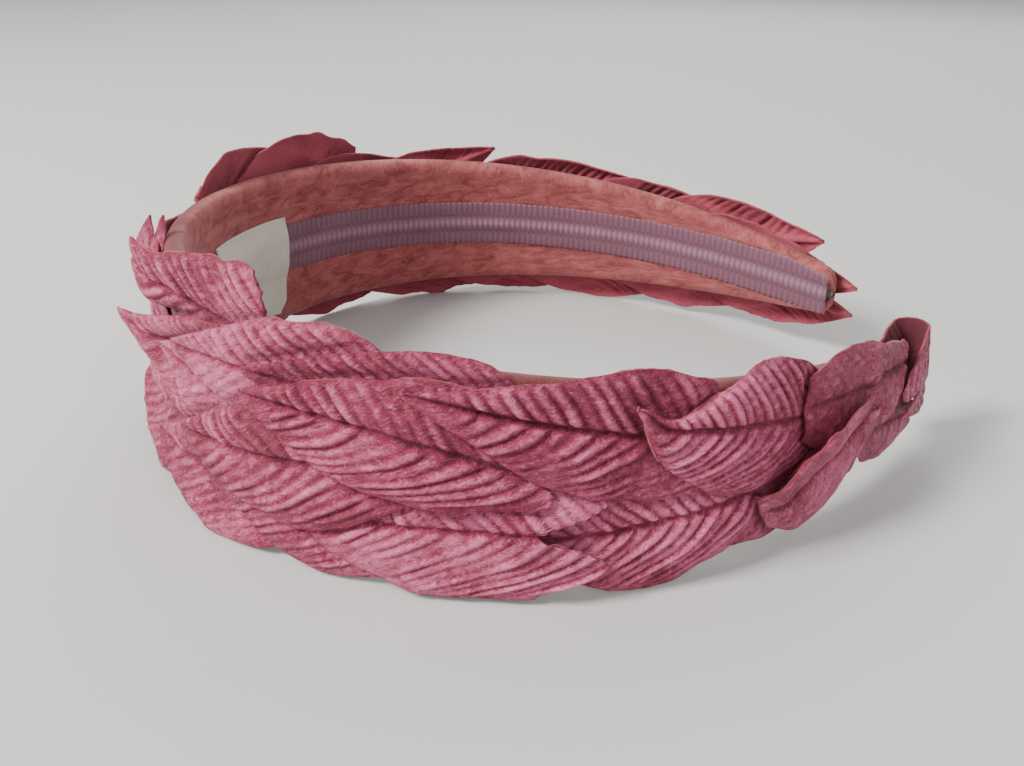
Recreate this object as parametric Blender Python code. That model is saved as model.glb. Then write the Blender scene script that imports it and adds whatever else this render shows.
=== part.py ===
"""A fabric headband covered with overlapping embossed velvet leaves, lying on its edge.

The band is a plastic strip bent into an almost closed C, in a fabric sleeve, with a ribbon lining
inside, a blank woven label and three rows of leaves outside. Everything follows one centre line.

Lengths below are in millimetres, and MM turns them into metres. A place on the band is given by
    along   the distance along the centre line, 0 at the crown, negative on the near arm
    across  the distance across the band's width, positive upwards
    out     the distance from the strip's middle, positive away from the head
"""

import math

import bmesh
import bpy
import numpy as np
from mathutils import Euler, Vector

MM = 0.001

# The centre line: it turns by TURN from the crown to each end, most sharply at the crown.
HALF_ARC = 188.0
TURN = math.radians(140)
TURN_POWER = 1.39
OVERRUN = 24.0
CURVE_STEP = 0.5

# The sleeve's width at the crown and at the ends, and how late the taper comes.
CROWN_WIDTH = 36.3
END_WIDTH = 10.0
TAPER_POWER = 2.64

# Both arms lean inwards at the top, and the crown stands upright.
ARM_LEAN = math.radians(-10)
LEAN_REACH = 0.3

# The band rests on leaf edges of uneven height, so it tips a little.
REST_TILT = Euler((math.radians(1.4), math.radians(2.2), 0.0))

# Layers from the middle of the strip outwards or inwards.
GAP = 0.3
STRIP_THICK = 1.6
STRIP_MARGIN = 2.2
CLOTH_THICK = 0.6
SLEEVE_HALF = STRIP_THICK / 2 + GAP + CLOTH_THICK
FLANGE_EDGE = 3.0
RIBBON_WIDTH = 11.5
RIBBON_CENTRE = 0.75
RIBBON_THICK = 0.6
RIBBON_END_MARGIN = 2.0
LABEL_THICK = 0.4
LABEL_START, LABEL_END = 8.0, 34.5
LABEL_LOW, LABEL_HIGH = -15.2, 8.8
STATIONS = 60
ROUND_STEPS = 4

# Leaves climb from root to tip, and each one starts a step above the next towards the far end.
LEAF_THICK = 0.4
LEAF_STEP = LEAF_THICK + GAP
LEAF_CELLS_ALONG = 10
LEAF_CELLS_ACROSS = 4
LEAF_ROOT_PHASE = 0.2
LEAF_TIP_PHASE = 0.98
LEAF_FULLNESS = 0.95
LEAF_SKEW = 0.85

# Each leaf: root along the band, across at its middle, turn in degrees (tip up), length, width.
UPPER_LEAVES = [
    (-180, 5, 4, 35, 17),
    (-149.5, 6.5, 8, 37.5, 22),
    (-125.5, 9.5, 11, 45.5, 21),
    (-96, 10.5, 3, 41, 20),
    (-77, 11.3, -5, 40, 18),
    (-53.5, 16.5, 4, 28, 22),
    (-15, 12, 72, 20, 10.2),
    (14, 14.5, 2, 40, 21),
    (28, 14.5, 0, 32, 22),
    (43, 9, 2, 45, 21),
    (60, 12, 22, 38, 16),
    (88, 9, 10, 46, 20),
    (118, 5, 3, 44, 20),
    (140, 6, 9, 42, 19),
    (-17, 9.5, 0, 40, 18),
]
MIDDLE_LEAVES = [
    (-162, -5.5, -27, 28, 15),
    (-100, 4.8, 9, 45, 19.5),
    (-81.5, -2, -9, 44, 21),
    (-66, 4, 3, 38, 21),
    (-58, 5, 3, 40, 20),
    (-24, 0, -3, 54, 22),
    (14, 2, 3, 46, 22),
    (40, -1, -2, 46, 22),
    (68, 1, 3, 46, 22),
    (96, 0, -3, 46, 21),
    (120, 0, 2, 46, 20),
    (146, 1, 0, 46, 19),
]
LOWER_LEAVES = [
    (-187.5, -6.3, 14, 29, 13),
    (-170, -4, -14, 30, 15),
    (-150, -8.5, -3, 28, 13),
    (-134, -8, -7, 42, 22),
    (-100, -8.5, -2, 39, 23),
    (-88, -10, -3, 44, 20),
    (-66, -12, -5, 42, 20),
    (-44, -11.5, -2, 42, 19),
    (-15, -13, 0, 45, 21),
    (10, -13, 0, 45, 21),
    (36, -13, 0, 45, 21),
    (62, -13, 2, 45, 21),
    (84, -12, 0, 45, 21),
    (105, -12, 0, 44, 20),
    (128, -9, 2, 44, 20),
    (150, -6, 0, 42, 19),
]

# The leaf folded round the near end in an open loop, longer inside than outside.
WRAP_WIDTH = 15.0
WRAP_CENTRE = 0.8
WRAP_OUTSIDE = 5.6
WRAP_INSIDE = 3.1
WRAP_OUTER_RUN = 10.0
WRAP_INNER_RUN = 15.0
WRAP_STEPS = 10

ROSE = (0.42, 0.08, 0.13, 1.0)
CORAL = (0.36, 0.09, 0.08, 1.0)
MAUVE = (0.26, 0.12, 0.18, 1.0)
CREAM = (0.48, 0.45, 0.36, 1.0)
SMOKE = (0.30, 0.28, 0.27, 1.0)


def turned(along):
    """The angle turned from the crown, at places along the band."""
    left = 1 - np.minimum(np.abs(along) / HALF_ARC, 1)
    return TURN * (1 - left**TURN_POWER)


def centre_line():
    """Places along the band, with the centre line's x and y at each."""
    along = np.arange(-HALF_ARC - OVERRUN, HALF_ARC + OVERRUN + CURVE_STEP / 2, CURVE_STEP)
    middles = along[:-1] + CURVE_STEP / 2
    heading = math.pi / 2 - np.sign(middles) * turned(middles)
    x = np.concatenate([[0], np.cumsum(np.cos(heading) * CURVE_STEP)])
    y = np.concatenate([[0], np.cumsum(np.sin(heading) * CURVE_STEP)])
    crown = len(along) // 2
    return along, x - x[crown], y - y[crown]


LINE_ALONG, LINE_X, LINE_Y = centre_line()


def width_at(along):
    share = np.minimum(abs(along) / HALF_ARC, 1)
    return CROWN_WIDTH + (END_WIDTH - CROWN_WIDTH) * share**TAPER_POWER


def place(along, across, out):
    """The point, in metres, at a place on the band."""
    heading = math.pi / 2 - math.copysign(turned(along), along)
    lean = ARM_LEAN * (1 - math.exp(-((along / HALF_ARC / LEAN_REACH) ** 2)))
    sideways = across * math.sin(lean) + out * math.cos(lean)
    return Vector((
        np.interp(along, LINE_ALONG, LINE_X) - math.sin(heading) * sideways,
        np.interp(along, LINE_ALONG, LINE_Y) + math.cos(heading) * sideways,
        across * math.cos(lean) - out * math.sin(lean),
    )) * MM


def add_object(name, points, faces, colour, roughness):
    """One closed body with its own material, its faces turned outwards."""
    mesh = bpy.data.meshes.new(name)
    mesh.from_pydata(points, [], faces)
    shape = bmesh.new()
    shape.from_mesh(mesh)
    bmesh.ops.recalc_face_normals(shape, faces=shape.faces)
    shape.to_mesh(mesh)
    shape.free()
    mesh.shade_smooth()
    mesh.set_sharp_from_angle(angle=math.radians(40))
    material = bpy.data.materials.new(name + "_finish")
    material.use_nodes = True
    shader = material.node_tree.nodes["Principled BSDF"]
    shader.inputs["Base Color"].default_value = colour
    shader.inputs["Roughness"].default_value = roughness
    mesh.materials.append(material)
    thing = bpy.data.objects.new(name, mesh)
    bpy.context.scene.collection.objects.link(thing)
    return thing


def sweep(name, start, end, stations, profile, colour, roughness):
    """A solid along the band: profile(along) gives the closed section's (across, out) points."""
    points = []
    faces = []
    for along in np.linspace(start, end, stations + 1):
        section = profile(along)
        points += [place(along, across, out) for across, out in section]
    count = len(section)
    for i in range(stations):
        for j in range(count):
            k = (j + 1) % count
            faces.append((i * count + j, i * count + k, (i + 1) * count + k, (i + 1) * count + j))
    faces.append(tuple(range(count)))
    faces.append(tuple(stations * count + j for j in range(count)))
    return add_object(name, points, faces, colour, roughness)


def slab(low, high, inner, outer):
    """A flat four-cornered section."""
    return [(low, inner), (high, inner), (high, outer), (low, outer)]


def strip_section(along):
    half = width_at(along) / 2 - STRIP_MARGIN
    thick = STRIP_THICK / 2
    corner = thick / 2
    return [
        (half, -corner), (half, corner), (half - corner, thick), (corner - half, thick),
        (-half, corner), (-half, -corner), (corner - half, -thick), (half - corner, -thick),
    ]


def sleeve_section(along):
    """The sleeve's C: a flat outside, round edges, and a hem on each side of the inside."""
    edge = width_at(along) / 2

    def loop(offset):
        centre = edge - SLEEVE_HALF
        half_turn = [
            (centre + offset * math.cos(a), offset * math.sin(a))
            for a in np.linspace(-math.pi / 2, math.pi / 2, ROUND_STEPS + 1)
        ]
        upper = [(FLANGE_EDGE, -offset)] + half_turn
        lower = [(-across, out) for across, out in reversed(upper)]
        return upper + lower

    return loop(SLEEVE_HALF) + loop(SLEEVE_HALF - CLOTH_THICK)[::-1]


def ribbon_section(along):
    reach = width_at(along) / 2 - 0.5
    low = max(RIBBON_CENTRE - RIBBON_WIDTH / 2, -reach)
    high = min(RIBBON_CENTRE + RIBBON_WIDTH / 2, reach)
    outer = -SLEEVE_HALF - GAP
    return slab(low, high, outer - RIBBON_THICK, outer)


def label_section(along):
    outer = -SLEEVE_HALF - 2 * GAP - RIBBON_THICK
    return slab(LABEL_LOW, LABEL_HIGH, outer - LABEL_THICK, outer)


def leaf_half_width(share, width):
    """Half a leaf's width at a share of its length: a blunt root, full near it, a pointed tip."""
    phase = LEAF_ROOT_PHASE + (LEAF_TIP_PHASE - LEAF_ROOT_PHASE) * share**LEAF_SKEW
    return width / 2 * math.sin(math.pi * phase) ** LEAF_FULLNESS


def leaf_grid(root, across, turn, length, width):
    """Rows of (along, across) places over a leaf, from its root to its tip."""
    turn = math.radians(turn)
    rows = []
    for i in range(LEAF_CELLS_ALONG + 1):
        share = i / LEAF_CELLS_ALONG
        forward = length * share
        row = []
        for j in range(LEAF_CELLS_ACROSS + 1):
            side = leaf_half_width(share, width) * (2 * j / LEAF_CELLS_ACROSS - 1)
            row.append((
                root + forward * math.cos(turn) - side * math.sin(turn),
                across + (forward - length / 2) * math.sin(turn) + side * math.cos(turn),
            ))
        rows.append(row)
    return rows


def add_leaf(name, grid, height):
    """A thin leaf over a grid of places, where height(along) is its underside."""
    across_count = len(grid[0])
    total = len(grid) * across_count
    points = [
        place(along, across, height(along) + layer)
        for layer in (0, LEAF_THICK)
        for row in grid
        for along, across in row
    ]
    faces = []
    for i in range(len(grid) - 1):
        for j in range(across_count - 1):
            corner = i * across_count + j
            quad = (corner, corner + 1, corner + 1 + across_count, corner + across_count)
            faces.append(quad)
            faces.append(tuple(total + k for k in reversed(quad)))
    rim = [j for j in range(across_count)]
    rim += [i * across_count + across_count - 1 for i in range(1, len(grid))]
    rim += [total - 1 - j for j in range(1, across_count)]
    rim += [i * across_count for i in range(len(grid) - 2, 0, -1)]
    for a, b in zip(rim, rim[1:] + rim[:1]):
        faces.append((a, total + a, total + b, b))
    return add_object(name, points, faces, ROSE, 0.7)


def add_leaves():
    """The three rows of leaves, laid like shingles from the far end to the near one."""
    leaves = []
    for row, leaves_in_row in (
        ("upper", UPPER_LEAVES), ("middle", MIDDLE_LEAVES), ("lower", LOWER_LEAVES)
    ):
        for number, size in enumerate(leaves_in_row, 1):
            leaves.append((size[0], f"leaf_{row}_{number:02d}", size))
    leaves.sort()
    first, last = leaves[0][0], leaves[-1][0]
    spacing = (last - first) / (len(leaves) - 1)
    slope = LEAF_STEP / spacing
    starts = [first + spacing * rank for rank in range(len(leaves))]
    grids = [leaf_grid(*size) for _, _, size in leaves]
    lowest = min(
        min(along for row in grid for along, _ in row) - start
        for grid, start in zip(grids, starts)
    )
    base = SLEEVE_HALF + GAP - slope * lowest
    for (_, name, _), grid, start in zip(leaves, grids, starts):
        add_leaf(name, grid, lambda along, start=start: base + slope * (along - start))


def add_end_wrap():
    """The leaf folded round the near end, from over the leaves there to behind the lining."""
    radius = (WRAP_OUTSIDE + WRAP_INSIDE) / 2
    centre = WRAP_OUTSIDE - radius
    turn_centre = -HALF_ARC - GAP
    path = [(turn_centre + WRAP_OUTER_RUN, WRAP_OUTSIDE, math.pi / 2)]
    for angle in np.linspace(math.pi / 2, -math.pi / 2, WRAP_STEPS + 1):
        path.append((turn_centre - radius * math.cos(angle), centre + radius * math.sin(angle), angle))
    path.append((turn_centre + WRAP_INNER_RUN, -WRAP_INSIDE, -math.pi / 2))
    sides = (WRAP_CENTRE - WRAP_WIDTH / 2, WRAP_CENTRE + WRAP_WIDTH / 2)
    points = []
    for along, out, angle in path:
        for layer in (0, LEAF_THICK):
            for across in sides:
                points.append(
                    place(along - layer * math.cos(angle), across, out + layer * math.sin(angle))
                )
    faces = []
    for i in range(len(path) - 1):
        a = 4 * i
        for j, k in ((0, 1), (1, 3), (3, 2), (2, 0)):
            faces.append((a + j, a + k, a + 4 + k, a + 4 + j))
    faces.append((0, 1, 3, 2))
    last = 4 * (len(path) - 1)
    faces.append((last, last + 1, last + 3, last + 2))
    return add_object("end_wrap_leaf", points, faces, ROSE, 0.7)


def stand_on_floor():
    """Tips the band onto its leaf edges, with the origin under the middle of its box."""
    things = list(bpy.context.scene.objects)
    rest = bpy.data.objects.new("headband", None)
    bpy.context.scene.collection.objects.link(rest)
    tilt = REST_TILT.to_matrix()
    corners = np.array([tilt @ v.co for thing in things for v in thing.data.vertices])
    low, high = corners.min(axis=0), corners.max(axis=0)
    middle = (low + high) / 2
    rest.rotation_euler = REST_TILT
    rest.location = (-middle[0], -middle[1], -low[2])
    for thing in things:
        thing.parent = rest


def main():
    for thing in list(bpy.data.objects):
        bpy.data.objects.remove(thing)
    sweep("band_core", -HALF_ARC, HALF_ARC, STATIONS, strip_section, SMOKE, 0.45)
    sweep("fabric_cover", -HALF_ARC, HALF_ARC, STATIONS, sleeve_section, CORAL, 0.8)
    ribbon_end = HALF_ARC - RIBBON_END_MARGIN
    sweep("lining_ribbon", -ribbon_end, ribbon_end, STATIONS + 1, ribbon_section, MAUVE, 0.7)
    sweep("woven_label", LABEL_START, LABEL_END, 6, label_section, CREAM, 0.8)
    add_leaves()
    add_end_wrap()
    stand_on_floor()


main()
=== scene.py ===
import math

import bpy
import numpy as np
from mathutils import Euler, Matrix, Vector


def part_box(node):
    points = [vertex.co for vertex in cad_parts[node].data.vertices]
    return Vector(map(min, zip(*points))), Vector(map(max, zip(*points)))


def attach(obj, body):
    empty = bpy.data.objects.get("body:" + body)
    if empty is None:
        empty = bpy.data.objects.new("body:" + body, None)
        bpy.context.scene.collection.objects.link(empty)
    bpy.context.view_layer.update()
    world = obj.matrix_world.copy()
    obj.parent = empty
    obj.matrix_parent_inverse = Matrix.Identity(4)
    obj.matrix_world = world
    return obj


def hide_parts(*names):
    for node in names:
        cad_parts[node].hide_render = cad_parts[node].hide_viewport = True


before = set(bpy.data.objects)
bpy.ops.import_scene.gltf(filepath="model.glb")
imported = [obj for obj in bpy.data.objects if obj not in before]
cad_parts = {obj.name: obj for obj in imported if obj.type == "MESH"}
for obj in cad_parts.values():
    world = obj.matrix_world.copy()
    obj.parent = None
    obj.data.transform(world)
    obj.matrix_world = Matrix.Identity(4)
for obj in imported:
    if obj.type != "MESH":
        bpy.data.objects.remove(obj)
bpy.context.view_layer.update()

# Lengths on the band are in millimetres, and MM turns them into metres. A place on the band is
#   along   the distance along the centre line, 0 at the crown, negative on the near arm
#   across  the distance across the band's width, positive upwards
#   out     the distance from the strip's middle, positive away from the head
MM = 0.001
HALF_ARC = 188.0
TURN = math.radians(140)
TURN_POWER = 1.39
OVERRUN = 30.0
CURVE_STEP = 0.5
CROWN_WIDTH = 36.3
END_WIDTH = 10.0
TAPER_POWER = 2.64
ARM_LEAN = math.radians(-10)
LEAN_REACH = 0.3
REST_TILT = Euler((math.radians(1.4), math.radians(2.2), 0.0))

# The strip, sleeve, ribbon and label. A HALF is half a thickness, from the strip's middle.
STRIP_HALF = 0.8
STRIP_MARGIN = 2.2
SLEEVE_HALF = 1.7
SLEEVE_THICK = 0.5
HEM_EDGE = 3.0
RIBBON_WIDTH = 11.5
RIBBON_CENTRE = 0.75
RIBBON_THICK = 0.5
RIBBON_PITCH = 1.5
RIBBON_TRIM = 0.4
STITCH_LINE = 2.1
LABEL_THICK = 0.3
LABEL_START, LABEL_END = 8.0, 34.5
LABEL_LOW, LABEL_HIGH = -15.2, 8.8

LEAF_THICK = 0.45
LEAF_LIFT = 0.58
LEAF_CELLS_ALONG = 150
LEAF_CELLS_ACROSS = 72

# The camera stands where the photograph was taken from.
CAMERA_FROM_CROWN = (0.05702, -0.17244, 0.06998)
CAMERA_TURN = (math.radians(62.745), math.radians(-0.943), math.radians(-2.241))
CAMERA_LENS = 31.25
SENSOR_WIDTH = 36.0
LIGHTS_AIM = Vector((0, 0, 0.025))


# ---------------------------------------------------------------- the band's own coordinates


def centre_line():
    """Places along the band, with the centre line's x and y at each."""
    along = np.arange(-HALF_ARC - OVERRUN, HALF_ARC + OVERRUN + CURVE_STEP / 2, CURVE_STEP)
    middles = along[:-1] + CURVE_STEP / 2
    left = 1 - np.minimum(np.abs(middles) / HALF_ARC, 1)
    heading = math.pi / 2 - np.sign(middles) * TURN * (1 - left**TURN_POWER)
    x = np.concatenate([[0], np.cumsum(np.cos(heading) * CURVE_STEP)])
    y = np.concatenate([[0], np.cumsum(np.sin(heading) * CURVE_STEP)])
    crown = len(along) // 2
    return along, x - x[crown], y - y[crown]


LINE_ALONG, LINE_X, LINE_Y = centre_line()
TILT = np.array(REST_TILT.to_matrix())


def width_at(along):
    share = np.minimum(np.abs(along) / HALF_ARC, 1)
    return CROWN_WIDTH + (END_WIDTH - CROWN_WIDTH) * share**TAPER_POWER


def tipped_place(along, across, out):
    """Points on the band in metres, tipped as it rests, before they are moved to the frame."""
    along, across, out = np.broadcast_arrays(*(np.asarray(x, float) for x in (along, across, out)))
    left = 1 - np.minimum(np.abs(along) / HALF_ARC, 1)
    heading = math.pi / 2 - np.sign(along) * TURN * (1 - left**TURN_POWER)
    lean = ARM_LEAN * (1 - np.exp(-((along / HALF_ARC / LEAN_REACH) ** 2)))
    sideways = across * np.sin(lean) + out * np.cos(lean)
    points = np.stack([
        np.interp(along, LINE_ALONG, LINE_X) - np.sin(heading) * sideways,
        np.interp(along, LINE_ALONG, LINE_Y) + np.cos(heading) * sideways,
        across * np.cos(lean) - out * np.sin(lean),
    ], axis=-1)
    return points @ TILT.T * MM


def frame_shift():
    """How far the band is moved into the frame: its strip meets the CAD strip's lowest corner."""
    along = np.linspace(-HALF_ARC, HALF_ARC, 61)
    half = width_at(along) / 2 - STRIP_MARGIN
    corner = STRIP_HALF / 2
    section = [
        (half, -corner), (half, corner), (half - corner, STRIP_HALF), (corner - half, STRIP_HALF),
        (-half, corner), (-half, -corner), (corner - half, -STRIP_HALF),
        (half - corner, -STRIP_HALF),
    ]
    strip = np.concatenate([tipped_place(along, across, out) for across, out in section])
    return np.array(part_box("band_core")[0]) - strip.min(axis=0)


SHIFT = frame_shift()


def place(along, across, out):
    return tipped_place(along, across, out) + SHIFT


# ---------------------------------------------------------------- smooth random numbers

NOISE_CELLS = 64


def lattice_noise(x, y, seed):
    """Smooth noise from -1 to 1 with one bump per unit, the same each run."""
    rng = np.random.default_rng(seed)
    table = rng.uniform(-1, 1, (NOISE_CELLS, NOISE_CELLS))
    xi, yi = np.floor(x).astype(int), np.floor(y).astype(int)
    fx, fy = x - xi, y - yi
    fx, fy = fx * fx * (3 - 2 * fx), fy * fy * (3 - 2 * fy)

    def at(i, j):
        return table[(xi + i) % NOISE_CELLS, (yi + j) % NOISE_CELLS]

    low = at(0, 0) * (1 - fx) + at(1, 0) * fx
    high = at(0, 1) * (1 - fx) + at(1, 1) * fx
    return low * (1 - fy) + high * fy


def smooth_step(x, low, high):
    x = np.clip((x - low) / (high - low), 0, 1)
    return x * x * (3 - 2 * x)


# ---------------------------------------------------------------- meshes from grids


def grid_solid(name, visible, thick, side, materials, flat, tones=None):
    """A thin closed body from a grid of points on its visible face.

    visible is (rows, columns, 3) in metres, side is 1 where that face looks away from the head and
    -1 where it looks inwards, and flat holds each point's place on the flat cloth, in centimetres.
    materials are those of the visible face, the back and the rim. tones holds three numbers for
    each point, which the materials read.
    """
    rows, columns = visible.shape[:2]
    along = np.gradient(visible, axis=0)
    across = np.gradient(visible, axis=1)
    normal = np.cross(across, along) * side
    normal /= np.maximum(np.linalg.norm(normal, axis=2, keepdims=True), 1e-12)
    back = visible - normal * thick * MM
    points = np.concatenate([visible.reshape(-1, 3), back.reshape(-1, 3)])
    index = np.arange(rows * columns).reshape(rows, columns)
    a, b = index[:-1, :-1].ravel(), index[:-1, 1:].ravel()
    c, d = index[1:, 1:].ravel(), index[1:, :-1].ravel()
    face = np.stack([a, b, c, d], axis=1)
    total = rows * columns
    behind = face[:, ::-1] + total
    rim = np.concatenate([index[0, :], index[1:, -1], index[-1, -2::-1], index[-2:0:-1, 0]])
    ahead = np.roll(rim, -1)
    edge = np.stack([rim, rim + total, ahead + total, ahead], axis=1)
    if side < 0:
        face, behind, edge = face[:, ::-1], behind[:, ::-1], edge[:, ::-1]
    faces = np.concatenate([face, behind, edge])
    mesh = bpy.data.meshes.new(name)
    mesh.from_pydata(points.tolist(), [], faces.tolist())
    slots = np.repeat([0, 1, 2], [len(face), len(behind), len(edge)])
    mesh.polygons.foreach_set("material_index", slots)
    mesh.polygons.foreach_set("use_smooth", np.ones(len(faces), bool))
    for material in materials:
        mesh.materials.append(material)
    uv = mesh.uv_layers.new(name="flat")
    flat_points = np.concatenate([flat.reshape(-1, 2)] * 2)
    corners = np.zeros(len(mesh.loops), int)
    mesh.loops.foreach_get("vertex_index", corners)
    uv.data.foreach_set("uv", flat_points[corners].ravel())
    if tones is not None:
        layer = mesh.color_attributes.new("tones", "FLOAT_COLOR", "POINT")
        values = np.concatenate([tones.reshape(-1, 3)] * 2)
        values = np.concatenate([values, np.ones((len(values), 1))], axis=1)
        layer.data.foreach_set("color", values.ravel())
    mesh.update()
    piece = bpy.data.objects.new(name, mesh)
    bpy.context.scene.collection.objects.link(piece)
    return piece


def stands_for(piece, node):
    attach(piece, "root")
    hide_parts(node)


# ---------------------------------------------------------------- materials

# A Mix node has sockets of every type under the same names, so the colour ones go by number.
MIX_SHARE, MIX_FIRST, MIX_SECOND, MIX_RESULT = 0, 6, 7, 2


class Shader:
    """A material's node tree, built by short calls."""

    def __init__(self, name, roughness):
        self.material = bpy.data.materials.new(name)
        self.material.use_nodes = True
        self.tree = self.material.node_tree
        self.surface = self.tree.nodes["Principled BSDF"]
        self.surface.inputs["Roughness"].default_value = roughness

    def add(self, kind, **values):
        node = self.tree.nodes.new(kind)
        for key, value in values.items():
            setattr(node, key, value)
        return node

    def link(self, source, target):
        self.tree.links.new(source, target)

    def feed(self, socket, value):
        if hasattr(value, "is_linked"):
            self.link(value, socket)
        else:
            socket.default_value = value

    def math(self, operation, a, b=0.0, clamp=False):
        node = self.add("ShaderNodeMath", operation=operation, use_clamp=clamp)
        self.feed(node.inputs[0], a)
        self.feed(node.inputs[1], b)
        return node.outputs[0]

    def mix(self, share, a, b):
        node = self.add("ShaderNodeMix", data_type="RGBA")
        self.feed(node.inputs[MIX_SHARE], share)
        self.feed(node.inputs[MIX_FIRST], a)
        self.feed(node.inputs[MIX_SECOND], b)
        return node.outputs[MIX_RESULT]

    def spread(self, value, low, high, start=0.0, end=1.0):
        node = self.add("ShaderNodeMapRange")
        node.inputs["From Min"].default_value = low
        node.inputs["From Max"].default_value = high
        node.inputs["To Min"].default_value = start
        node.inputs["To Max"].default_value = end
        self.feed(node.inputs["Value"], value)
        return node.outputs["Result"]

    def noise(self, where, scale, detail=3.0, roughness=0.55, distortion=0.0):
        node = self.add("ShaderNodeTexNoise")
        node.inputs["Scale"].default_value = scale
        node.inputs["Detail"].default_value = detail
        node.inputs["Roughness"].default_value = roughness
        node.inputs["Distortion"].default_value = distortion
        self.feed(node.inputs["Vector"], where)
        return node.outputs["Fac"]

    def streaked(self, where, along, across, turn):
        """Turns the flat cloth, then scales it, so that a noise makes slanting streaks."""
        node = self.add("ShaderNodeMapping", vector_type="TEXTURE")
        node.inputs["Scale"].default_value = (1 / along, 1 / across, 1.0)
        node.inputs["Rotation"].default_value = (0.0, 0.0, turn)
        self.feed(node.inputs["Vector"], where)
        return node.outputs["Vector"]

    def bump(self, height, distance, strength=1.0, under=None):
        node = self.add("ShaderNodeBump")
        node.inputs["Distance"].default_value = distance
        node.inputs["Strength"].default_value = strength
        self.feed(node.inputs["Height"], height)
        if under is not None:
            self.link(under, node.inputs["Normal"])
        return node.outputs["Normal"]

    def places(self):
        """The point's place in the frame, and on the flat cloth in centimetres."""
        spot = self.add("ShaderNodeTexCoord").outputs["Object"]
        flat = self.add("ShaderNodeUVMap", uv_map="flat").outputs["UV"]
        return spot, flat

    def tones(self):
        """The three numbers that the mesh holds for each point."""
        node = self.add("ShaderNodeSeparateColor")
        held = self.add("ShaderNodeAttribute", attribute_name="tones")
        self.link(held.outputs["Color"], node.inputs[0])
        return node.outputs["Red"], node.outputs["Green"], node.outputs["Blue"]

    def colour(self, value):
        self.feed(self.surface.inputs["Base Color"], value)

    def sheen(self, weight, roughness, tint):
        self.surface.inputs["Sheen Weight"].default_value = weight
        self.surface.inputs["Sheen Roughness"].default_value = roughness
        self.surface.inputs["Sheen Tint"].default_value = tint


def velvet():
    """Crushed rose velvet: painted pink light on the ridges and painted crimson shade in the
    grooves, with painted slanting glints and deep crimson specks.
    """
    s = Shader("rose_velvet", 0.45)
    spot, flat = s.places()
    ridge, edge, tone = s.tones()
    patches = s.spread(s.noise(spot, 95, 3, 0.6), 0.36, 0.64)
    glints = s.noise(s.streaked(flat, 15, 34, -0.55), 1.0, 4, 0.7, 0.5)
    crush = s.spread(s.noise(s.streaked(flat, 5.0, 8.0, -0.5), 1.0, 5, 0.7, 0.8), 0.36, 0.64)
    # ridge carries the painted rib shading: paler on the ridges, darker in the grooves and the
    # midrib crease.
    light = s.math("ADD", s.math("MULTIPLY", ridge, 0.56), s.math("MULTIPLY", patches, 0.26))
    light = s.math("ADD", light, s.math("MULTIPLY", crush, 0.28))
    light = s.math("ADD", light, s.math("MULTIPLY", tone, 0.06))
    ramp = s.add("ShaderNodeValToRGB")
    ramp.color_ramp.elements[0].position = 0.21
    ramp.color_ramp.elements[0].color = (0.080, 0.004, 0.012, 1)
    ramp.color_ramp.elements[1].position = 0.98
    ramp.color_ramp.elements[1].color = (0.82, 0.195, 0.345, 1)
    middle = ramp.color_ramp.elements.new(0.60)
    middle.color = (0.345, 0.038, 0.082, 1)
    s.link(light, ramp.inputs["Fac"])
    # Painted glints: pale pink specks, strongest where the painted rib light is high.
    painted_glint_share = s.math("MULTIPLY", s.spread(glints, 0.55, 0.66), s.spread(light, 0.25, 0.8, 0.15, 1.0))
    colour = s.mix(s.math("MULTIPLY", painted_glint_share, 0.6), ramp.outputs["Color"], (0.90, 0.38, 0.56, 1))
    # Painted shade: deep crimson specks where the glint noise is low.
    painted_speck_shade = s.spread(glints, 0.32, 0.46, 0.5, 0.0)
    colour = s.mix(painted_speck_shade, colour, (0.16, 0.006, 0.026, 1))
    frayed = s.math("MULTIPLY", edge, s.spread(s.noise(spot, 700, 2), 0.4, 0.6), clamp=True)
    colour = s.mix(s.math("MULTIPLY", frayed, 0.5), colour, (0.40, 0.022, 0.040, 1))
    s.colour(colour)
    s.feed(s.surface.inputs["Roughness"], s.spread(glints, 0.4, 0.66, 0.58, 0.26))
    s.surface.inputs["Specular IOR Level"].default_value = 0.5
    s.surface.inputs["Specular Tint"].default_value = (1.0, 0.55, 0.70, 1)
    s.sheen(0.12, 0.3, (1.0, 0.50, 0.66, 1))
    normal = s.bump(crush, 0.0004, 0.8)
    normal = s.bump(glints, 0.0005, 1.0, normal)
    s.link(normal, s.surface.inputs["Normal"])
    return s.material


def leaf_back(name, painted_shade_scale):
    """The velvet's woven back, dull; the second number scales its colour, and below 1 it is painted
    shade.
    """
    s = Shader(name, 0.85)
    spot, flat = s.places()
    weave = s.noise(s.streaked(flat, 12, 30, 0.0), 1.0, 2, 0.5)
    patches = s.noise(spot, 90, 3)
    share = s.math("ADD", s.math("MULTIPLY", weave, 0.4), s.math("MULTIPLY", patches, 0.6))
    low = (0.19 * painted_shade_scale, 0.019 * painted_shade_scale, 0.034 * painted_shade_scale, 1)
    high = (0.38 * painted_shade_scale, 0.060 * painted_shade_scale, 0.092 * painted_shade_scale, 1)
    s.colour(s.mix(s.spread(share, 0.35, 0.65), low, high))
    s.sheen(0.2, 0.5, (1.0, 0.6, 0.65, 1))
    s.link(s.bump(weave, 0.0001), s.surface.inputs["Normal"])
    return s.material


def cut_edge():
    """The cut velvet's fuzzy edge, crimson with coral threads."""
    s = Shader("velvet_cut_edge", 0.8)
    spot, _ = s.places()
    threads = s.noise(spot, 1400, 2, 0.6)
    patches = s.noise(spot, 160, 2)
    share = s.math("ADD", s.math("MULTIPLY", threads, 0.5), s.math("MULTIPLY", patches, 0.5))
    s.colour(s.mix(s.spread(share, 0.42, 0.66), (0.17, 0.010, 0.022, 1), (0.44, 0.060, 0.085, 1)))
    s.sheen(0.25, 0.4, (1.0, 0.6, 0.6, 1))
    s.link(s.bump(threads, 0.0001), s.surface.inputs["Normal"])
    return s.material


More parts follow.
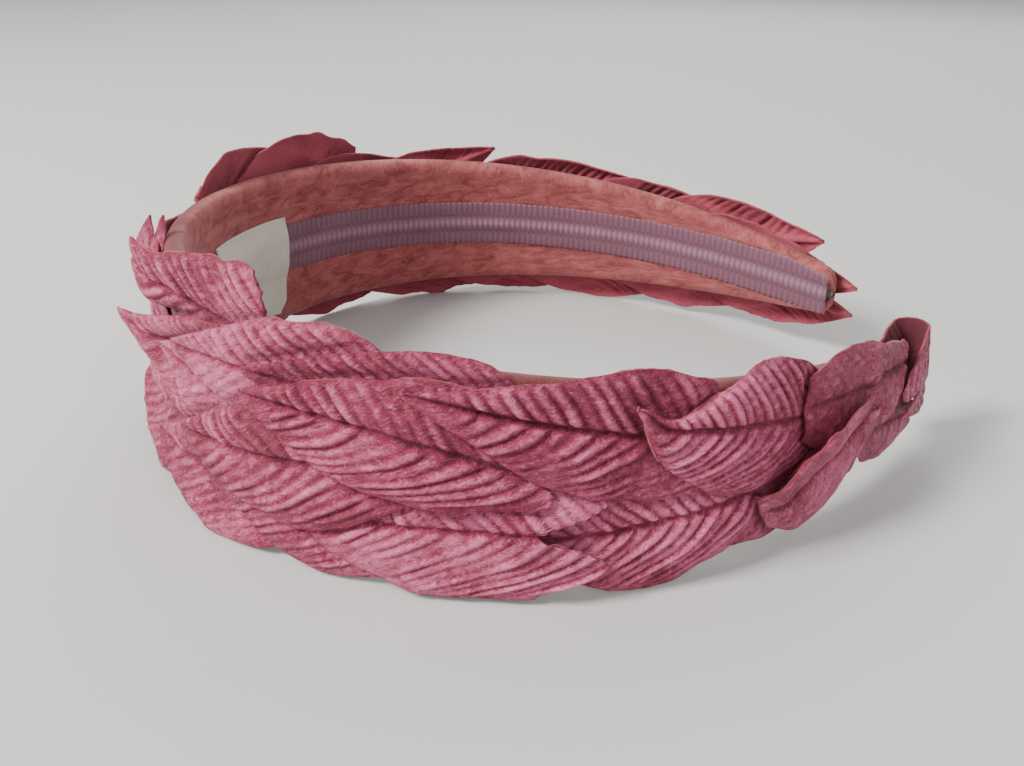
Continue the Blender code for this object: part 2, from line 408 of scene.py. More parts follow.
def coral_satin():
    """The sleeve's coral brushed satin, mottled, with a short nap."""
    s = Shader("coral_satin", 0.7)
    _, flat = s.places()
    nap = s.noise(s.streaked(flat, 22, 12, 0.5), 1.0, 5, 0.7, 0.5)
    clouds = s.noise(s.streaked(flat, 1.6, 3.0, 0.2), 1.0, 5, 0.65, 0.8)
    # The first tone is painted shade: the sleeve's outer side turns deep brown-red, furthest round
    # on the near arm, where it lies in shade between the leaves.
    painted_sleeve_shade, _, _ = s.tones()
    share = s.math("ADD", s.math("MULTIPLY", s.spread(nap, 0.35, 0.65), 0.4),
                   s.math("MULTIPLY", s.spread(clouds, 0.36, 0.64), 0.6))
    colour = s.mix(share, (0.155, 0.022, 0.026, 1), (0.46, 0.130, 0.130, 1))
    s.colour(s.mix(s.math("MULTIPLY", painted_sleeve_shade, 0.75), colour, (0.085, 0.016, 0.016, 1)))
    s.feed(s.surface.inputs["Roughness"], s.spread(clouds, 0.3, 0.7, 0.72, 0.52))
    s.surface.inputs["Specular IOR Level"].default_value = 0.3
    s.surface.inputs["Specular Tint"].default_value = (1.0, 0.72, 0.68, 1)
    s.sheen(0.25, 0.45, (1.0, 0.62, 0.58, 1))
    normal = s.bump(clouds, 0.0004, 0.7)
    normal = s.bump(nap, 0.0003, 0.9, normal)
    s.link(normal, s.surface.inputs["Normal"])
    return s.material


def mauve_ribbon():
    """Ribbed mauve ribbon, its raised threads painted paler as painted highlight and its hollows
    painted darker as painted shade.
    """
    s = Shader("mauve_ribbon", 0.55)
    spot, flat = s.places()
    raised, dots, tone = s.tones()
    threads = s.noise(s.streaked(flat, 12, 60, 0.0), 1.0, 2, 0.6)
    clouds = s.noise(spot, 90, 2)
    share = s.math("ADD", s.math("MULTIPLY", raised, 0.7), s.math("MULTIPLY", threads, 0.25))
    share = s.math("ADD", share, s.math("MULTIPLY", clouds, 0.2))
    colour = s.mix(s.spread(share, 0.15, 1.0), (0.085, 0.030, 0.045, 1), (0.27, 0.125, 0.175, 1))
    colour = s.mix(s.math("MULTIPLY", dots, 0.75), colour, (0.07, 0.018, 0.030, 1))
    # The third tone, the beads on the cord, is painted highlight: they turn pale mauve.
    s.colour(s.mix(s.math("MULTIPLY", tone, 0.35), colour, (0.46, 0.29, 0.37, 1)))
    s.surface.inputs["Specular Tint"].default_value = (1.0, 0.85, 0.95, 1)
    s.sheen(0.25, 0.35, (0.95, 0.75, 0.9, 1))
    s.link(s.bump(threads, 0.00008), s.surface.inputs["Normal"])
    return s.material


def cream_tape():
    """Plain woven cream tape."""
    s = Shader("cream_tape", 0.75)
    spot, flat = s.places()
    waves = []
    for direction in ("X", "Y"):
        wave = s.add("ShaderNodeTexWave", bands_direction=direction)
        wave.inputs["Scale"].default_value = 6.5
        wave.inputs["Distortion"].default_value = 0.6
        s.link(flat, wave.inputs["Vector"])
        waves.append(wave.outputs["Fac"])
    weave = s.math("MAXIMUM", *waves)
    clouds = s.noise(spot, 120)
    share = s.math("ADD", s.math("MULTIPLY", weave, 0.5), s.math("MULTIPLY", clouds, 0.5))
    s.colour(s.mix(s.spread(share, 0.25, 0.8), (0.46, 0.42, 0.34, 1), (0.70, 0.66, 0.56, 1)))
    s.sheen(0.2, 0.5, (1, 1, 1, 1))
    s.link(s.bump(weave, 0.00012), s.surface.inputs["Normal"])
    return s.material


def strip_plastic():
    """The plain grey plastic of the strip inside."""
    s = Shader("strip_plastic", 0.45)
    spot = s.add("ShaderNodeTexCoord").outputs["Object"]
    grain = s.noise(spot, 400, 2)
    s.colour(s.mix(grain, (0.20, 0.19, 0.18, 1), (0.30, 0.28, 0.27, 1)))
    s.link(s.bump(grain, 0.00005), s.surface.inputs["Normal"])
    return s.material


# ---------------------------------------------------------------- leaves

# Each leaf: root along the band, across at its middle, turn in degrees (tip up), length, width,
# then what it differs in, as Leaf reads it. "on" is its place in the pile, where it isn't its
# root's. The lists run along the band, but the last upper leaf fills the crown's bare patch.
# A tone above 1 makes a leaf's colour paler all over; the high tones of the leaves round the crown
# are painted light, as the crown is lit most.
UPPER_LEAVES = [
    (-180, 5, 4, 35, 17, {"relief": 0.3, "crumple": 1.6, "low_lift": 2.0, "tip_lift": 0.4,
                          "skew": 1.9, "blunt": 0.2}),
    (-149.5, 6.5, 8, 37.5, 22, {"tip_lift": 1.6, "pitch": 0.72, "uneven": 0.25, "pinch": 0.6,
                                "hook": 3.5, "tone": 2.2}),
    (-125.5, 9.5, 11, 45.5, 21, {"pinch": 0.15, "top_lift": 0.5, "broad": 0.1, "skew": 0.85}),
    (-96, 10.5, 3, 41, 20, {"top_lift": 0.5}),
    (-77, 11.3, -5, 40, 18, {"flare": 0.6, "top_lift": 0.6, "tone": 3.5}),
    (-53.5, 16.5, 4, 28, 22, {"flare": 4.0, "tip_lift": 1.5, "hook": 3.0, "broad": 0.28,
                              "uneven": 0.6, "top_lift": 0.5, "blunt": 0.08, "tone": 1.0}),
    (-15, 12, 72, 20, 10.2, {"fork": 5.0, "twist": 44, "notch": 1.0, "relief": 0.5,
                             "flare": -1.2}),
    (14, 14.5, 2, 40, 21, {"flare": 1.0}),
    (28, 14.5, 0, 32, 22, {"flare": 1.0, "skew": 1.3, "blunt": 0.15}),
    (43, 9, 2, 45, 21, {}),
    (60, 12, 22, 38, 16, {"tip_lift": 1.0}),
    (88, 9, 10, 46, 20, {}),
    (118, 5, 3, 44, 20, {}),
    (140, 6, 9, 42, 19, {"tip_lift": 1.5}),
    (-17, 9.5, 0, 40, 18, {}),
]
MIDDLE_LEAVES = [
    (-162, -5.5, -27, 28, 15, {"relief": 0.2, "top_lift": 2.6, "on": -181, "skew": 1.5,
                               "blunt": 0.13, "tip_lift": 0.6, "hook": 3.0, "tone": 2.2}),
    (-100, 4.8, 9, 45, 19.5, {"on": -121.5, "bow": 2.0, "uneven": 0.35, "low_lift": 0.5}),
    (-81.5, -2, -9, 44, 21, {"on": -120.5, "low_lift": 0.5}),
    (-66, 4, 3, 38, 21, {"relief": 0.45, "crumple": 0.8, "tone": 3.6}),
    (-58, 5, 3, 40, 20, {"flare": 4.5, "tip_lift": 1.5, "hook": 1.5, "relief": 0.6,
                         "crumple": 0.7, "tone": 3.2}),
    (-24, 0, -3, 54, 22, {"flare": 2.0}),
    (14, 2, 3, 46, 22, {"flare": 1.5}),
    (40, -1, -2, 46, 22, {}),
    (68, 1, 3, 46, 22, {}),
    (96, 0, -3, 46, 21, {}),
    (120, 0, 2, 46, 20, {}),
    (146, 1, 0, 46, 19, {}),
]
LOWER_LEAVES = [
    (-187.5, -6.3, 14, 29, 13, {"relief": 0.2, "on": -176.5, "skew": 1.3, "blunt": 0.14,
                                "tone": 2.0}),
    (-170, -4, -14, 30, 15, {"relief": 0.6, "on": -150}),
    (-150, -8.5, -3, 28, 13, {"relief": 0.3, "on": -100, "blunt": 0.1}),
    (-134, -8, -7, 42, 22, {"on": -119, "pitch": 0.8, "tone": 2.0}),
    (-100, -8.5, -2, 39, 23, {"on": -120, "notch": 10.0, "broad": 0.18, "root_lift": 1.0,
                              "low_lift": 0.5, "tone": 2.8}),
    (-88, -10, -3, 44, 20, {}),
    (-66, -12, -5, 42, 20, {"flare": 1.5, "low_lift": 2.5, "relief": 0.6, "crumple": 0.7,
                            "tone": 1.6}),
    (-44, -11.5, -2, 42, 19, {"flare": 4.5, "low_lift": 4.5, "relief": 0.6, "crumple": 0.7,
                              "tone": 1.4}),
    (-15, -13, 0, 45, 21, {"flare": 1.5}),
    (10, -13, 0, 45, 21, {}),
    (36, -13, 0, 45, 21, {}),
    (62, -13, 2, 45, 21, {}),
    (84, -12, 0, 45, 21, {}),
    (105, -12, 0, 44, 20, {}),
    (128, -9, 2, 44, 20, {}),
    (150, -6, 0, 42, 19, {}),
]

# A leaf's outline is part of a sine's arch, between these two phases. TOP and LOW are the halves
# above and below the midrib.
LEAF_ROOT_PHASE = 0.17
LEAF_TIP_PHASE = 0.99
LEAF_FULLNESS = 0.95
LEAF_SKEW_TOP = 0.75
LEAF_SKEW_LOW = 0.92
RIB_PITCH_TOP = 3.0
RIB_PITCH_LOW = 3.8
RIB_RISE_TOP = 0.8
RIB_RISE_LOW = 1.0
RIB_BEND_TOP = 0.02
RIB_BEND_LOW = 0.09
RIB_HEIGHT = 0.85
LEAF_BULGE = 1.15
MIDRIB_WIDTH = 0.5
MIDRIB_DEPTH = 0.1
RIM_SHARE = 0.93

# The pile's top is kept as heights on a grid over the band.
CELL = 0.5
GRID_ALONG = np.arange(-HALF_ARC - 20, HALF_ARC + 30, CELL)
GRID_ACROSS = np.arange(-36, 36.01, CELL)


class Leaf:
    """One embossed leaf: its outline, and its own relief above the surface that it lies on."""

    def __init__(self, name, root, across, turn, length, width, extra, seed):
        self.name, self.seed = name, seed
        self.root, self.across = root, across
        self.turn, self.length, self.width = math.radians(turn), length, width
        self.pile_place = extra.get("on", root)
        self.flare = extra.get("flare", 0.0)
        self.tip_lift = extra.get("tip_lift", 0.7)
        self.root_lift = extra.get("root_lift", 0.2)
        self.top_lift = extra.get("top_lift", 0.0)
        self.low_lift = extra.get("low_lift", 0.0)
        self.notch = extra.get("notch", 2.5)
        self.fork = extra.get("fork", 0.0)
        self.bow = extra.get("bow", 0.0)
        self.skew = extra.get("skew", 1.0)
        self.blunt = extra.get("blunt", 0.0)
        self.pinch = extra.get("pinch", 0.0)
        self.hook = extra.get("hook", 0.0)
        self.broad = extra.get("broad", 0.0)
        self.twist = math.radians(extra.get("twist", 0.0))
        self.relief = extra.get("relief", 1.0)
        self.crumple = extra.get("crumple", 0.25)
        self.uneven = extra.get("uneven", 0.1)
        rng = np.random.default_rng(seed)
        self.tone = extra.get("tone", rng.uniform(0, 1))
        self.rib_start = rng.uniform(0, 1)
        self.waves = rng.uniform(0.3, 0.8)
        self.pitch = extra.get("pitch", rng.uniform(0.82, 1.0))

    def half_width(self, share, top):
        """Half the width on one side of the midrib, fullest nearer to the root."""
        skew = self.skew * np.where(top, LEAF_SKEW_TOP, LEAF_SKEW_LOW + self.uneven)
        tip = LEAF_TIP_PHASE - 0.022 * self.fork - self.blunt
        start = LEAF_ROOT_PHASE + self.broad
        phase = start + (tip - start) * np.clip(share, 0, 1) ** skew
        narrow = 1 - np.where(top, self.pinch, 0.0) * smooth_step(share, 0.4, 0.85)
        return self.width / 2 * np.sin(math.pi * phase) ** LEAF_FULLNESS * narrow

    def bow_at(self, forward):
        """How far the midrib stands to the side of a straight line."""
        share = np.clip(forward / self.length, 0, 1)
        return 4 * self.bow * share * (1 - share) + self.hook * smooth_step(share, 0.75, 1.0) ** 2

    def on_band(self, forward, side):
        """From the leaf's own forward and side distances to along and across."""
        c, s = math.cos(self.turn), math.sin(self.turn)
        side = side + self.bow_at(forward)
        along = self.root + forward * c - side * s
        across = self.across + (forward - self.length / 2) * s + side * c
        return along, across

    def own(self, along, across):
        """From along and across to the leaf's own forward and side distances."""
        c, s = math.cos(self.turn), math.sin(self.turn)
        x = along - self.root
        y = across - self.across + self.length / 2 * s
        forward = x * c + y * s
        return forward, -x * s + y * c - self.bow_at(forward)

    def form(self, forward, side):
        """The leaf's broad shape above what it lies on: bulging halves, lifted edges and tip."""
        share = np.clip(forward / self.length, 0, 1)
        across = side / np.maximum(self.half_width(share, side > 0), 0.1)
        across = np.clip(across, -1.1, 1.1)
        full = np.sin(math.pi * np.clip(share, 0.02, 0.98)) ** 0.5
        height = LEAF_BULGE * np.sin(math.pi * np.minimum(np.abs(across), 1)) ** 0.8 * full
        height += self.tip_lift * smooth_step(share, 0.72, 1.0) ** 2
        height += self.root_lift * (1 - smooth_step(share, 0.0, 0.22))
        height += self.flare * smooth_step(share, 0.25, 1.0) ** 2
        wave = lattice_noise(forward / 6.0 + 20, np.sign(side) * 3 + self.seed % 50, self.seed)
        height += np.abs(across) ** 4 * (wave * 0.5 + 0.5) * self.waves * full
        height += self.top_lift * smooth_step(across, 0.2, 1.0) ** 1.5 * full
        height += self.low_lift * smooth_step(-across, 0.2, 1.0) ** 1.5 * full
        height += self.crumple * lattice_noise(forward / 5, side / 5 + 9, self.seed + 9) * full
        return height

    def ribs(self, forward, side):
        """The embossed ribs, from 0 in a groove to 1 on a ridge, and how strong they are."""
        top = side >= 0
        b = np.abs(side)
        rise = np.where(top, RIB_RISE_TOP, RIB_RISE_LOW)
        bend = np.where(top, RIB_BEND_TOP, RIB_BEND_LOW)
        pitch = np.where(top, RIB_PITCH_TOP, RIB_PITCH_LOW) * self.pitch
        drift = 0.3 * lattice_noise(forward / 7, side / 5 + 30, self.seed + 7)
        phase = (forward - rise * b - bend * b * b) / pitch + self.rib_start + drift
        ridge = np.abs(np.sin(math.pi * phase)) ** 0.9
        share = np.clip(forward / self.length, 0, 1)
        across = b / np.maximum(self.half_width(share, top), 0.1)
        strength = smooth_step(b, 0.1, 0.9) * (1 - 0.35 * across)
        strength *= 1 - 0.8 * smooth_step(across, 0.84, 0.98)
        strength *= 1 - 0.85 * smooth_step(share, 0.78, 0.96)
        crushed = lattice_noise(forward / 8 + 5, side / 7 + 60, self.seed + 3)
        strength *= 0.3 + 0.7 * smooth_step(crushed, -0.75, 0.05)
        number = np.floor(phase)
        uneven = 0.75 + 0.35 * np.sin(number * 2.4 + self.seed)
        return ridge, np.clip(strength * uneven * self.relief * 1.25, 0, 1.3)


def all_leaves():
    """All leaves, in the order in which they are laid: the lowest in the pile first."""
    leaves = []
    rows = (("upper", UPPER_LEAVES), ("middle", MIDDLE_LEAVES), ("lower", LOWER_LEAVES))
    for r, (row, sizes) in enumerate(rows):
        for number, size in enumerate(sizes, 1):
            name = f"leaf_{row}_{number:02d}"
            leaves.append(Leaf(name, *size, seed=100 * r + number))
    return sorted(leaves, key=lambda leaf: -leaf.pile_place)


def smear(line, kernel):
    """One line of values run through a kernel, at its own length."""
    span = len(kernel) // 2
    return np.convolve(line, kernel)[span:span + len(line)]


def blurred(values, mask, reach):
    """A Gaussian blur inside a mask, reach in cells, along both axes."""
    span = int(2.5 * reach)
    offsets = np.arange(-span, span + 1)
    kernel = np.exp(-(offsets**2) / (2 * reach * reach))
    weighted = np.where(mask, values, 0.0)
    weight = mask.astype(float)
    for axis in (0, 1):
        weighted = np.apply_along_axis(smear, axis, weighted, kernel)
        weight = np.apply_along_axis(smear, axis, weight, kernel)
    return weighted / np.maximum(weight, 1e-9)


def leaf_window(leaf):
    """The part of the grid round a leaf, with the leaf's own distances there and its outline."""
    reach = leaf.width / 2 + 2
    corners = [leaf.on_band(f, side) for f in (-8, leaf.length + 2) for side in (-reach, reach)]
    i0, i1 = np.searchsorted(GRID_ALONG, [min(c[0] for c in corners), max(c[0] for c in corners)])
    j0, j1 = np.searchsorted(GRID_ACROSS, [min(c[1] for c in corners), max(c[1] for c in corners)])
    window = (slice(i0, i1), slice(j0, j1))
    along, across = np.meshgrid(GRID_ALONG[window[0]], GRID_ACROSS[window[1]], indexing="ij")
    forward, side = leaf.own(along, across)
    inside = (forward > -leaf.notch) & (forward < leaf.length + 0.5)
    inside &= np.abs(side) < leaf.half_width(forward / leaf.length, side > 0) + 0.7
    return window, forward, side, inside


def pressed_by(leaves):
    """Sets how free each leaf is over its window: from 1 in the open to 0.1 under others."""
    above = np.zeros((len(GRID_ALONG), len(GRID_ACROSS)))
    everywhere = np.ones_like(above, dtype=bool)
    for leaf in reversed(leaves):
        window, _, _, inside = leaf_window(leaf)
        cover = blurred(above[window], everywhere[window], 2.5)
        leaf.free = np.clip(1 - 1.4 * cover, 0.1, 1)
        above[window] = np.maximum(above[window], inside)


def rest_leaf(leaf, pile):
    """Lays a leaf on the pile: returns the smooth surface under it and adds it to the pile."""
    window, forward, side, inside = leaf_window(leaf)
    support = pile[window] + LEAF_LIFT
    surface = np.where(inside, support, 0.0)
    for reach in (7, 7, 5, 5, 3, 3):
        surface = np.where(inside, np.maximum(blurred(surface, inside, reach), support), 0.0)
    surface = blurred(surface, inside, 2) + 0.06
    near = blurred(surface, inside, 5)
    surface = np.where(inside, surface, near)
    top = surface + (leaf.form(forward, side) + RIB_HEIGHT * leaf.relief) * leaf.free
    pile[window] = np.where(inside, np.maximum(pile[window], top), pile[window])
    return window, surface


def sample(surface, window, along, across):
    """Heights between the grid's points."""
    x = (along - GRID_ALONG[window[0].start]) / CELL
    y = (across - GRID_ACROSS[window[1].start]) / CELL
    x = np.clip(x, 0, surface.shape[0] - 1.001)
    y = np.clip(y, 0, surface.shape[1] - 1.001)
    i, j = x.astype(int), y.astype(int)
    fx, fy = x - i, y - j
    low = surface[i, j] * (1 - fx) + surface[i + 1, j] * fx
    high = surface[i, j + 1] * (1 - fx) + surface[i + 1, j + 1] * fx
    return low * (1 - fy) + high * fy


def make_leaf(leaf, pile, materials):
    """One leaf as a mesh: its outline first, then its height on the pile, then its tones."""
    window, surface = rest_leaf(leaf, pile)
    share = np.linspace(0, 1, LEAF_CELLS_ALONG + 1)[:, None]
    q = np.linspace(-1, 1, LEAF_CELLS_ACROSS + 1)[None, :]
    ripple = 1 + 0.05 * lattice_noise(share * 9 + 3, q * 0 + np.sign(q) * 5, leaf.seed + 1)
    side = leaf.half_width(share, q > 0) * q * ripple
    lobes = np.sin(math.pi * np.abs(q)) ** 1.5 * (1 - share) ** 5
    split = (1 - np.abs(q)) ** 1.5 * share**8
    ragged = 0.35 * lattice_noise(q * 14 + 0 * share, share * 0 + 2, leaf.seed + 5)
    ragged *= (1 - share) ** 6
    forward = leaf.length * share - leaf.notch * lobes - leaf.fork * split + ragged
    along, across = leaf.on_band(forward, side)
    ridge, strength = leaf.ribs(forward, side)
    free = sample(leaf.free, window, along, across)
    out = sample(surface, window, along, across)
    out += (leaf.form(forward, side) + RIB_HEIGHT * ridge * strength) * free
    crease = np.exp(-((side / MIDRIB_WIDTH) ** 2)) * (1 - smooth_step(share, 0.9, 1.0))
    out -= MIDRIB_DEPTH * crease
    turned = leaf.twist * smooth_step(share, 0.3, 0.75)
    middle = leaf.on_band(forward, 0 * side)
    along = middle[0] + (along - middle[0]) * np.cos(turned)
    across = middle[1] + (across - middle[1]) * np.cos(turned)
    out += (leaf.half_width(share, True) - side) * np.sin(turned)
    edge = smooth_step(np.abs(q) + 0 * share, RIM_SHARE, 1.0)
    # light is painted rib shading: paler on the ridges, darker in the grooves and the midrib
    # crease.
    light = np.clip(0.5 + (ridge - 0.5) * strength - 0.45 * crease, 0, 1)
    tones = np.stack([light, edge, np.full_like(light, leaf.tone)], axis=2)
    flat = np.stack([forward / 10, side / 10 + leaf.seed], axis=2)
    visible = place(along, across, out)
    name = "velvet_" + leaf.name
    piece = grid_solid(name, visible, LEAF_THICK, 1, materials, flat, tones)
    stands_for(piece, leaf.name)
    spread = leaf.half_width(share[:, 0], True) + leaf.half_width(share[:, 0], False)


def make_leaves():
    """Lays every leaf, and returns the leaves' materials."""
    pile = np.full((len(GRID_ALONG), len(GRID_ACROSS)), SLEEVE_HALF)
    materials = [velvet(), leaf_back("velvet_back", 1.0), cut_edge()]
    leaves = all_leaves()
    pressed_by(leaves)
    for leaf in leaves:
        make_leaf(leaf, pile, materials)
    return materials


# ---------------------------------------------------------------- sleeve, ribbon, label


def make_sleeve():
    """The satin sleeve: one cloth round the strip, hemmed inside, with soft puckers."""
    rounding, least_close = 2.5, 0.05
    pull_reach, mottling = 4, (0.12, 0.16)
    stations = np.linspace(-HALF_ARC, HALF_ARC, 561)[:, None]
    into_end = ((np.abs(stations) - HALF_ARC + rounding) / rounding).clip(0)
    close = np.maximum(np.sqrt(np.clip(1 - into_end**2, 0.0, 1)), least_close)
    angles = np.linspace(-math.pi / 2, math.pi / 2, 11)[1:-1]
    core = width_at(stations) / 2 - SLEEVE_HALF
    across, out, run = [], [], []
    for t in np.linspace(0, 1, 15):
        across.append(HEM_EDGE + (core - HEM_EDGE) * t)
        out.append(-SLEEVE_HALF + 0 * core)
        run.append(0.5 * t)
    for i, a in enumerate(angles):
        across.append(core + SLEEVE_HALF * math.cos(a))
        out.append(SLEEVE_HALF * math.sin(a) + 0 * core)
        run.append(0.5 + 0.1 * (i + 1) / (len(angles) + 1))
    for t in np.linspace(1, 0, 8):
        across.append(core * t)
        out.append(SLEEVE_HALF + 0 * core)
        run.append(0.6 + 0.4 * (1 - t))
    upper_across = np.concatenate(across, axis=1)
    upper_out = np.concatenate(out, axis=1)
    across = np.concatenate([upper_across, -upper_across[:, -2::-1]], axis=1)
    out = np.concatenate([upper_out, upper_out[:, -2::-1]], axis=1)
    turn = np.concatenate([run, 2 - np.array(run)[-2::-1]])[None, :]
    inner = smooth_step(-out, 0.5, 1.6)
    puckers = lattice_noise(stations / 2.6, turn * 3, 41) * mottling[0]
    puckers += lattice_noise(stations / 6, turn * 9, 42) * mottling[1]
    pull = np.exp(-((np.abs(across) - HEM_EDGE - 2) / pull_reach) ** 2)
    out = out - inner * puckers * (0.4 + 0.6 * pull)
    out, across = out * close, across * (0.12 + 0.88 * close)
    visible = place(stations + 0 * across, across, out)
    flat = np.stack([stations / 10 + 0 * across, turn * 3.5 + 0 * stations], axis=2)
    # Painted shade on the sleeve's outer side, reaching further round on the near arm; the satin
    # reads it as its first tone.
    wider = 1.6 * smooth_step(-stations, -30, 30)
    painted_sleeve_shade = smooth_step(out, -0.4 - wider, 0.9 - wider)
    tones = np.stack([painted_sleeve_shade, 0 * painted_sleeve_shade, 0 * painted_sleeve_shade], axis=2)
    satin = coral_satin()
    piece = grid_solid("satin_sleeve", visible, SLEEVE_THICK, 1, [satin, satin, satin], flat, tones)
    stands_for(piece, "fabric_cover")


def make_ribbon():
    """The lining: cross ribs, a raised beaded cord along the middle, and a row of stitch dots."""
    cord_width, stitch_width, off_sleeve = 1.1, 0.45, 0.45
    end = HALF_ARC - RIBBON_TRIM
    stations = np.linspace(-end, end, 1300)[:, None]
    q = np.linspace(-1, 1, 27)[None, :]
    beat = np.sin(2 * math.pi * stations / RIBBON_PITCH)
    reach = width_at(stations) / 2 - RIBBON_TRIM
    low = np.maximum(RIBBON_CENTRE - RIBBON_WIDTH / 2, -reach)
    high = np.minimum(RIBBON_CENTRE + RIBBON_WIDTH / 2, reach)
    across = (low + high) / 2 + (high - low) / 2 * q
    picot = 0.12 * beat
    across = across + picot * smooth_step(np.abs(q), 0.9, 1.0) * np.sign(q)
    centre = across - RIBBON_CENTRE
    rib = 0.5 + 0.5 * beat + 0 * q
    cord = np.exp(-((centre / cord_width) ** 2))
    beads = cord * (0.5 + 0.5 * beat)
    lines = np.exp(-(((np.abs(centre) - STITCH_LINE) / stitch_width) ** 2))
    stitches = lines * smooth_step(beat, 0.1, 0.6)
    wobble = 0.12 * lattice_noise(stations / 14, q + 3, 77)
    wobble = wobble + 0.06 * lattice_noise(stations / 4, q * 2, 78)
    height = 0.10 * rib + 0.35 * cord + 0.16 * beads - 0.16 * stitches + wobble
    lift = SLEEVE_HALF + off_sleeve + RIBBON_THICK
    out = -(lift + height) + 0.2 * smooth_step(np.abs(q), 0.75, 1.0)
    visible = place(stations + 0 * q, across, out)
    # Painted light and shade: the raised ribs and the cord are painted paler than the hollows, and
    # the beads palest.
    raised = np.clip(0.25 + 0.35 * rib * (1 - cord) + 0.5 * cord, 0, 1)
    tones = np.stack([raised, stitches, np.clip(beads, 0, 1)], axis=2)
    flat = np.stack([stations / 10 + 0 * q, across / 10], axis=2)
    ribbon = mauve_ribbon()
    piece = grid_solid("petersham_ribbon", visible, RIBBON_THICK, -1, [ribbon] * 3, flat, tones)
    stands_for(piece, "lining_ribbon")


def make_label():
    """The blank label, laid over the ribbon and hems, its end further along a little lifted."""
    s = np.linspace(0, 1, 81)[:, None]
    t = np.linspace(0, 1, 73)[None, :]
    along = LABEL_START + (LABEL_END - LABEL_START) * s + 0 * t
    across = LABEL_LOW + (LABEL_HIGH - LABEL_LOW) * t + 0 * s
    folded_corner, off_sleeve, hump = 2.2, 0.75, 6.2
    corner = smooth_step(1 - t, 0.86, 1.0) * smooth_step(s, 0.86, 1.0)
    along = along - corner * folded_corner
    over = np.exp(-(((across - RIBBON_CENTRE) / hump) ** 4))
    lift = SLEEVE_HALF + off_sleeve + over * (RIBBON_THICK + off_sleeve)
    lift = lift + 0.3 * smooth_step(s, 0.8, 1.0) + 0.05 * lattice_noise(s * 4, t * 4, 9)
    visible = place(along, across, -lift)
    flat = np.stack([along / 10, across / 10], axis=2)
    tape = cream_tape()
    piece = grid_solid("cream_label", visible, LABEL_THICK, -1, [tape] * 3, flat)
    stands_for(piece, "woven_label")


def make_end_wrap(materials):
    """The leaf folded round the near end in an open loop; its two root lobes lie outside."""
    length, width, notch, lobe_length = 42.0, 17.0, 5.0, 4.0
    outer_run, radius, rib_pitch = 12.5, 3.4, 2.6
    bend = math.pi * radius
    start, lean, pivot, height = -HALF_ARC + 9.0, 0.12, 20.0, -0.5
    s = np.linspace(0, 1, 121)[:, None]
    q = np.linspace(-1, 1, 61)[None, :]
    lobes = np.abs(np.sin(math.pi * np.abs(q))) ** 1.2
    travel = length * s - lobe_length * lobes * (1 - s) ** 6
    travel = travel + notch * np.exp(-((q / 0.16) ** 2)) * (1 - s) ** 5
    angle = np.clip((travel - outer_run) / radius, 0, math.pi)
    along = start - np.minimum(travel, outer_run) - radius * np.sin(angle)
    along = along + np.maximum(travel - outer_run - bend, 0)
    gape = 1.3 * smooth_step(outer_run - travel, 0, outer_run)
    half = width / 2 * np.sin(math.pi * (0.14 + 0.84 * s)) ** 0.9
    side = half * q
    out = 1.3 + radius * np.cos(angle) + gape * (1 - np.abs(q))
    across = height + side + lean * (travel - pivot)
    ridge = np.abs(np.sin(math.pi * ((travel - 0.9 * np.abs(side)) / rib_pitch))) ** 0.9
    strength = 0.5 * smooth_step(np.abs(side), 0.25, 1.4)
    strength = strength * (1 - 0.8 * smooth_step(np.abs(q), 0.85, 1))
    push = 0.6 * (ridge - 0.6) * strength
    push = push + 0.35 * lattice_noise(travel / 4, side / 4, 909)
    along = along - push * np.sin(angle)
    out = out + push * np.cos(angle)
    visible = place(along, across, out)
    # light is painted rib shading: paler on the ridges, darker in the grooves.
    light = np.clip(0.5 + (ridge - 0.5) * strength, 0, 1)
    edge = smooth_step(np.abs(q) + 0 * s, RIM_SHARE, 1)
    tones = np.stack([light, edge, 0.4 + 0 * light], axis=2)
    flat = np.stack([travel / 10, side / 10 + 500 + 0 * travel], axis=2)
    # Its rows run towards the near end, so they are turned round to face away from the head.
    visible, flat, tones = visible[::-1], flat[::-1], tones[::-1]
    piece = grid_solid("velvet_end_wrap", visible, LEAF_THICK, 1, materials, flat, tones)
    stands_for(piece, "end_wrap_leaf")


# ---------------------------------------------------------------- floor, light, camera


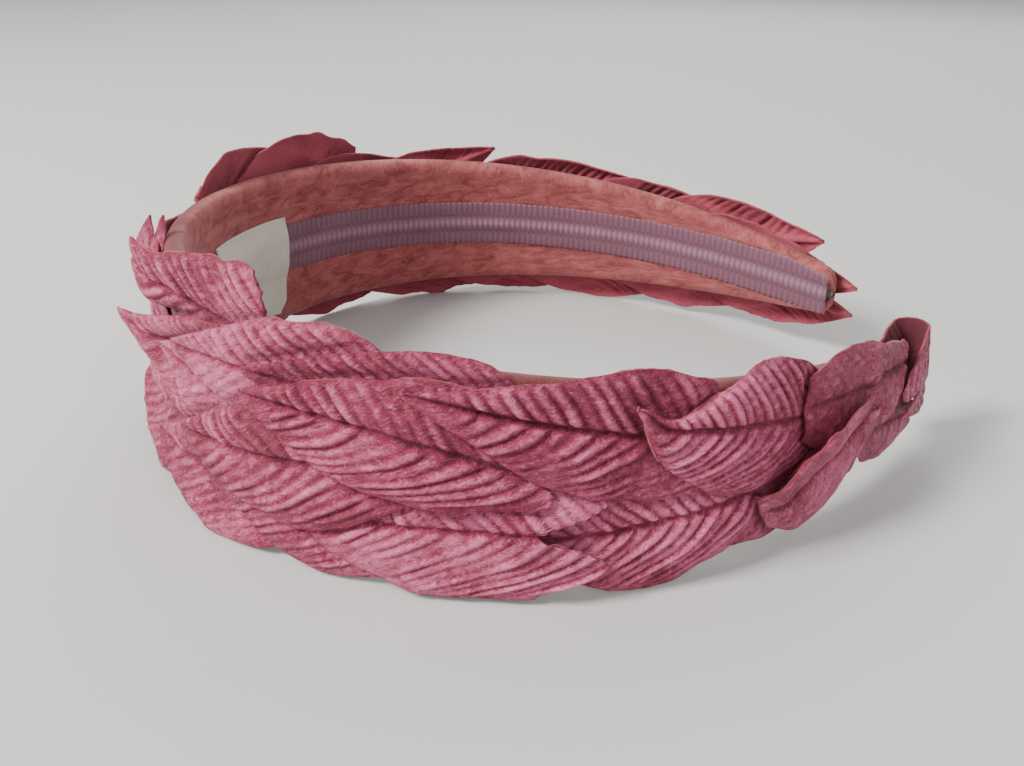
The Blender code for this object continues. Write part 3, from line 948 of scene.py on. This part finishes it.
def make_stage():
    """A plain pale floor and an even sky."""
    far = 6
    corners = [(-far, -far, 0), (far, -far, 0), (far, far, 0), (-far, far, 0)]
    mesh = bpy.data.meshes.new("floor")
    mesh.from_pydata(corners, [], [(0, 1, 2, 3)])
    floor = bpy.data.objects.new("floor", mesh)
    bpy.context.scene.collection.objects.link(floor)
    s = Shader("pale_floor", 0.9)
    s.surface.inputs["Base Color"].default_value = (0.56, 0.55, 0.53, 1)
    mesh.materials.append(s.material)
    world = bpy.data.worlds.new("studio")
    world.use_nodes = True
    bpy.context.scene.world = world
    sky = world.node_tree.nodes["Background"]
    sky.inputs["Color"].default_value = (0.93, 0.95, 0.95, 1)
    sky.inputs["Strength"].default_value = 0.75


def make_light(name, spot, size, power, colour):
    lamp = bpy.data.lights.new(name, "AREA")
    lamp.size, lamp.energy, lamp.color = size, power, colour
    thing = bpy.data.objects.new(name, lamp)
    thing.location = spot
    aim = LIGHTS_AIM - Vector(spot)
    thing.rotation_euler = aim.to_track_quat("-Z", "Y").to_euler()
    bpy.context.scene.collection.objects.link(thing)


def make_camera():
    camera = bpy.data.cameras.new("camera")
    camera.lens, camera.sensor_width, camera.clip_start = CAMERA_LENS, SENSOR_WIDTH, 0.005
    thing = bpy.data.objects.new("camera", camera)
    thing.location = SHIFT + np.array(CAMERA_FROM_CROWN)
    thing.rotation_euler = CAMERA_TURN
    bpy.context.scene.collection.objects.link(thing)
    bpy.context.scene.camera = thing


make_camera()
make_stage()
make_light("key", (-0.75, -0.30, 0.70), 0.3, 19.0, (1.0, 0.98, 0.97))
make_light("fill", (0.5, -0.9, 0.7), 0.9, 3.0, (0.96, 0.98, 1.0))
make_light("back", (0.3, 0.9, 0.8), 0.8, 7.0, (1.0, 1.0, 1.0))
leaf_materials = make_leaves()
# The end wrap's back is scaled to 0.4 as painted shade inside its loop.
make_end_wrap([leaf_materials[0], leaf_back("velvet_back_painted_shade", 0.4), leaf_materials[2]])
make_sleeve()
make_ribbon()
make_label()
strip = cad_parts["band_core"]
strip.data.materials.clear()
strip.data.materials.append(strip_plastic())
